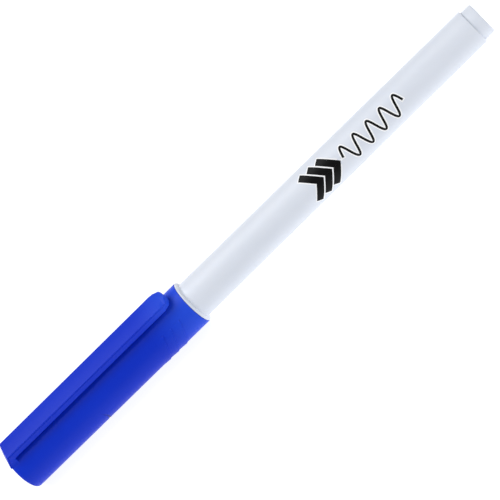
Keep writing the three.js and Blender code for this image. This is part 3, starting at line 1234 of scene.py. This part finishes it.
@dataclass
class Barrel(Turned):
    """Tapered barrel tube. Seat is how far it closes up to its neighbours."""

    node = "barrel"
    title = "barrel_tube"

    front: float
    rear: float
    front_radius: float
    rear_radius: float = 4.3
    bore: float = 3.55
    front_rounding: float = 0.03
    rear_rounding: float = 0.2
    seat: float = 0.045
    row_inset: float = 2.0
    rows: int = 20

    def radius_at(self, x: float) -> float:
        """The outside radius at a place along the barrel."""
        return lerp(self.front_radius, self.rear_radius, (x - self.front) / (self.rear - self.front))

    def outline(self) -> list[Corner]:
        """The corners of the tube.

        Returns:
            The corners, in order.
        """
        places = spread(self.front + self.row_inset, self.rear - self.row_inset, self.rows)
        front = self.front - self.seat
        rear = self.rear + self.seat
        return [
            (front, self.bore),
            (front, self.front_radius, self.front_rounding),
            *((x, self.radius_at(x)) for x in places),
            (rear, self.rear_radius, self.rear_rounding),
            (rear, self.bore),
        ]


@dataclass
class RearPlug(Turned):
    """Stepped plug: a head that shows, a hollow stem and cross fins."""

    node = "rear_plug"
    title = "rear_plug_moulding"
    steps = 7

    fin_start: float
    end: float
    head_radius: float
    stem_radius: float = 3.52
    head_length: float = 2.65
    head_rounding: float = 0.35
    head_draft: float = 0.04
    stem_length: float = 6.0
    stem_wall: float = 0.8
    stem_fillet: float = 0.2
    mouth_fillet: float = 0.08
    joint_fillet: float = 0.05
    step_fillet: float = 0.06
    floor: float = 0.9
    fin_thickness: float = 0.8
    fin_inset: float = 0.5
    fin_edge: float = 0.1
    gate_radius: float = 0.8
    gate_depth: float = 0.12
    gate_draft: float = 0.85
    gate_fillet: float = 0.08

    def fin_rings(self, turn: float) -> list[Ring]:
        """One cross fin, a flat bar with rounded edges.

        Args:
            turn: How far it is turned about the centre line, in degrees.

        Returns:
            Its sections at both ends.
        """
        tall = self.stem_radius - self.fin_inset
        half = self.fin_thickness / 2
        edge = self.fin_edge
        spin = math.radians(turn)
        top = [(half, tall - edge), (half - edge, tall), (-half + edge, tall), (-half, tall - edge)]
        section = [
            (a * math.cos(spin) - b * math.sin(spin), a * math.sin(spin) + b * math.cos(spin))
            for a, b in top + [(-a, -b) for a, b in top]
        ]
        back = self.end - self.floor / 2
        return [[self.line.at(x, y, z) for y, z in section] for x in (self.fin_start, back)]

    def outline(self) -> list[Corner]:
        """The corners of the plug.

        Returns:
            The corners, in order.
        """
        head = self.end - self.head_length
        stem = head - self.stem_length
        inner = self.stem_radius - self.stem_wall
        floor = self.end - self.floor
        gate = self.end - self.gate_depth
        return [
            (floor, 0),
            (floor, inner, self.stem_fillet),
            (stem, inner, self.mouth_fillet),
            (stem, self.stem_radius, self.stem_fillet),
            (head, self.stem_radius, self.joint_fillet),
            (head, self.head_radius, self.step_fillet),
            (self.end, self.head_radius - self.head_draft, self.head_rounding),
            (self.end, self.gate_radius, self.gate_fillet),
            (gate, self.gate_radius * self.gate_draft, self.gate_fillet),
            (gate, 0),
        ]

    def inserts(self) -> list[list[Ring]]:
        """The two cross fins."""
        return [self.fin_rings(0), self.fin_rings(90)]


@dataclass
class Print:
    """Printed mark on the barrel: nested chevrons and a plain wave, in millimetres.

    Each stroke is a thin closed shell bent round the barrel.
    """

    line: CentreLine
    barrel: Barrel
    start: float = 88.15
    angle: float = 52.0
    chevron_tall: float = 7.2
    chevron_reach: float = 3.1
    chevron_width: float = 1.6
    chevron_pitch: float = 2.5
    chevron_count: int = 3
    wave_start: float = 10.8
    wave_end: float = 28.2
    wave_tall: float = 4.4
    wave_count: float = 4.5
    wave_width: float = 0.5
    wave_points: int = 145
    keyline: float = 0.28
    ink_lift: float = 0.018
    ground_lift: float = 0.009
    sink: float = 0.03
    step: float = 0.25
    across: int = 4

    def strokes(self) -> list[tuple[list[Point], float]]:
        """The mark's strokes.

        Returns:
            Pairs of the points of a stroke's middle line and its width.
        """
        found: list[tuple[list[Point], float]] = []
        tall = self.chevron_tall / 2
        for index in range(self.chevron_count):
            x = self.chevron_width / 2 + index * self.chevron_pitch
            chevron = [(x, -tall), (x + self.chevron_reach, 0.0), (x, tall)]
            found.append((chevron, self.chevron_width))
        wave = []
        for x in spread(self.wave_start, self.wave_end, self.wave_points):
            turn = 2 * math.pi * self.wave_count * (x - self.wave_start)
            turn /= self.wave_end - self.wave_start
            wave.append((x, self.wave_tall / 2 * math.sin(turn)))
        return [*found, (wave, self.wave_width)]

    def shell(self, points: Sequence[Point], width: float, lift: float) -> list[Ring]:
        """One stroke as a closed shell on the barrel.

        Args:
            points: The stroke's middle line, as [along, round] in millimetres.
            width: Its width.
            lift: How far its top stands out of the barrel.

        Returns:
            Rings across the stroke, from one end to the other.
        """
        sections: list[tuple[Vector, Vector]] = []
        for index, (start, end) in enumerate(zip(points, points[1:])):
            run = Vector(end) - Vector(start)
            side = Vector((-run.y, run.x)).normalized()
            count = max(int(run.length / self.step), 1)
            for place in range(1 if index else 0, count + 1):
                mitre = side
                if place == count and index + 2 < len(points):
                    after = Vector(points[index + 2]) - Vector(end)
                    other = Vector((-after.y, after.x)).normalized()
                    mitre = (side + other).normalized()
                    mitre /= mitre.dot(side)
                sections.append((Vector(start) + run * (place / count), mitre))
        rings = []
        for middle, side in sections:
            top, under = [], []
            for step in range(self.across + 1):
                flat = middle + side * width * (step / self.across - 0.5)
                x = self.start + flat.x
                radius = self.barrel.radius_at(x)
                turn = self.angle - math.degrees(flat.y / radius)
                top.append(self.line.around(x, radius + lift, turn))
                under.append(self.line.around(x, radius - self.sink, turn))
            rings.append(top + under[::-1])
        return rings

    def build(self, name: str, grow: float, lift: float) -> bpy.types.Object:
        """Makes one layer of the mark.

        Args:
            name: The piece's name.
            grow: How far the layer reaches past each stroke.
            lift: How far it stands out of the barrel.

        Returns:
            The layer.
        """
        parts = []
        for points, width in self.strokes():
            ends = [Vector(point) for point in points]
            ends[0] += (ends[0] - ends[1]).normalized() * grow
            ends[-1] += (ends[-1] - ends[-2]).normalized() * grow
            path = [(end.x, end.y) for end in ends]
            parts.append(self.shell(path, width + 2 * grow, lift))
        return skin(name, parts, sharp=30)

    def dress(self, ink: bpy.types.Object, ground: bpy.types.Object, finishes: Finishes) -> None:
        """Colours both layers and puts them on the barrel's body."""
        finishes.settle(ink, Body.PEN, Finish.PRINT)
        finishes.settle(ground, Body.PEN, Finish.GROUND)


# ---------------------------------------------------------------- studio


@dataclass(frozen=True)
class SoftLight:
    """A square soft light that faces the marker. Sizes in metres, power in watts."""

    name: str
    place: tuple[float, float, float]
    size: float
    power: float

    def build(self) -> None:
        """Hangs the light."""
        data = bpy.data.lights.new(self.name, "AREA")
        data.size = self.size
        data.energy = self.power
        made = in_scene(self.name, data)
        made.location = self.place
        made.rotation_euler = (-Vector(self.place)).to_track_quat("-Z", "Y").to_euler()


@dataclass
class Studio:
    """Pale floor, soft lights and the camera."""

    line: CentreLine
    rear: float
    elevation: float = 46.0
    distance: float = 0.4529
    swing: float = 8.75
    tilt: float = 44.43
    aim: float = 0.093
    lens: float = 153.8
    sensor: float = 36.0
    clip_start: float = 0.01
    floor_half: float = 4.0
    floor_colour: str = "#a2a4a8"
    floor_roughness: float = 0.9
    floor_glow: float = 0.88
    world_strength: float = 0.36
    lights: tuple[SoftLight, ...] = (
        SoftLight("key_light", (-0.35, 0.25, 0.85), size=0.7, power=6.6),
        SoftLight("front_light", (0.6, -0.7, 0.4), size=0.8, power=2.4),
    )

    def camera(self) -> None:
        """Places the camera above and in front, with the marker running up to the right."""
        high = math.radians(self.elevation)
        out = Vector((0, -math.cos(high), math.sin(high)))
        along = Vector((1, 0, 0))
        swing = math.radians(self.swing)
        look = (-out * math.cos(swing) - along * math.sin(swing)).normalized()
        rear_way = (along - look * along.dot(look)).normalized()
        upper_left = rear_way.cross(look)
        look = (look - upper_left * math.tan(math.radians(self.aim))).normalized()
        rear_way = (along - look * along.dot(look)).normalized()
        upper_left = rear_way.cross(look)
        tilt = math.radians(self.tilt)
        right = rear_way * math.cos(tilt) - upper_left * math.sin(tilt)
        up = rear_way * math.sin(tilt) + upper_left * math.cos(tilt)
        data = bpy.data.cameras.new("camera")
        data.lens = self.lens
        data.sensor_width = self.sensor
        data.clip_start = self.clip_start
        made = in_scene("camera", data)
        turn = Matrix((right, up, -look)).transposed().to_4x4()
        made.matrix_world = Matrix.Translation(self.line.at(self.rear, 0, 0) + out * self.distance) @ turn
        bpy.context.scene.camera = made

    def floor(self) -> None:
        """Lays a plain pale floor, faintly lit from below like a light table."""
        half = self.floor_half
        data = bpy.data.meshes.new("floor")
        corners = [(-half, -half, 0), (half, -half, 0), (half, half, 0), (-half, half, 0)]
        data.from_pydata(corners, [], [(0, 1, 2, 3)])
        made = in_scene("floor", data)
        # Painted board, matt: even and nearly white, so that only soft shadows show on it.
        material, tree = new_material("floor_white_matt")
        paint = {"Base Color": linear(self.floor_colour), "Roughness": self.floor_roughness}
        paint |= {"Emission Color": (1, 1, 1, 1), "Emission Strength": self.floor_glow}
        shader = add_node(tree, "BsdfPrincipled", paint)
        add_node(tree, "OutputMaterial", links={"Surface": shader})
        data.materials.append(material)

    def build(self) -> None:
        """Sets the whole studio up."""
        self.camera()
        self.floor()
        world = bpy.data.worlds.new("studio")
        world.use_nodes = True
        back = world.node_tree.nodes["Background"]
        back.inputs["Color"].default_value = (1, 1, 1, 1)
        back.inputs["Strength"].default_value = self.world_strength
        scene = bpy.context.scene
        scene.world = world
        for light in self.lights:
            light.build()
        scene.view_settings.view_transform = "Standard"
        scene.view_settings.look = "None"


def main() -> None:
    """Builds the marker piece by piece and lights it."""
    cap_lo, cap_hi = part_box("cap")
    barrel_lo, barrel_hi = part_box("barrel")
    axis_z = (barrel_lo.z + barrel_hi.z) / 2
    line = CentreLine(Vector((cap_lo.x, 0, axis_z)))

    def along(value: float) -> float:
        """A place along the frame's X, in millimetres from the closed end."""
        return (value - cap_lo.x) / MM

    def out(value: float) -> float:
        """A height above the centre line, in millimetres."""
        return (value - axis_z) / MM

    clip_lo, clip_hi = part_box("clip")
    liner_lo, liner_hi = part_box("inner_cap")
    front_lo, front_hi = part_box("front_section")
    nib_lo, nib_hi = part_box("nib")
    plug_lo, plug_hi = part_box("rear_plug")

    cap = Cap(line, along(cap_hi.x), axis_z / MM)
    finishes = Finishes(mouth=cap_hi.x, weld=cap.weld())
    clip_width = (clip_hi.y - clip_lo.y) / MM
    clip = Clip(line, cap.radius, out(clip_hi.z), clip_width, along(clip_hi.x))
    liner = InnerCap(line, along(liner_lo.x), along(liner_hi.x), out(liner_hi.z))
    barrel = Barrel(line, along(barrel_lo.x), along(barrel_hi.x), out(barrel_hi.z))
    collar, joint = out(front_hi.z), barrel.front_radius
    front = FrontSection(line, along(front_lo.x), along(front_hi.x), collar, joint)
    nib = Nib(line, along(nib_lo.x), along(nib_hi.x), out(nib_hi.z))
    plug = RearPlug(line, along(plug_lo.x), along(plug_hi.x), out(plug_hi.z))
    for part in (cap, clip, liner, front, nib, barrel, plug):
        part.dress(part.build(), finishes)
    mark = Print(line, barrel)
    ink = mark.build("print_black", 0.0, mark.ink_lift)
    ground = mark.build("print_ground", mark.keyline, mark.ground_lift)
    mark.dress(ink, ground, finishes)

    for node, finish in (("ink_reservoir", Finish.FIBRE), ("reservoir_wrap", Finish.FILM)):
        finishes.dress(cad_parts[node], finish)
        LOG.info("%s stays, in %s", node, finish.label)

    Studio(line, along(plug_hi.x)).build()

    bpy.context.view_layer.update()


if __name__ == "__main__":
    main()
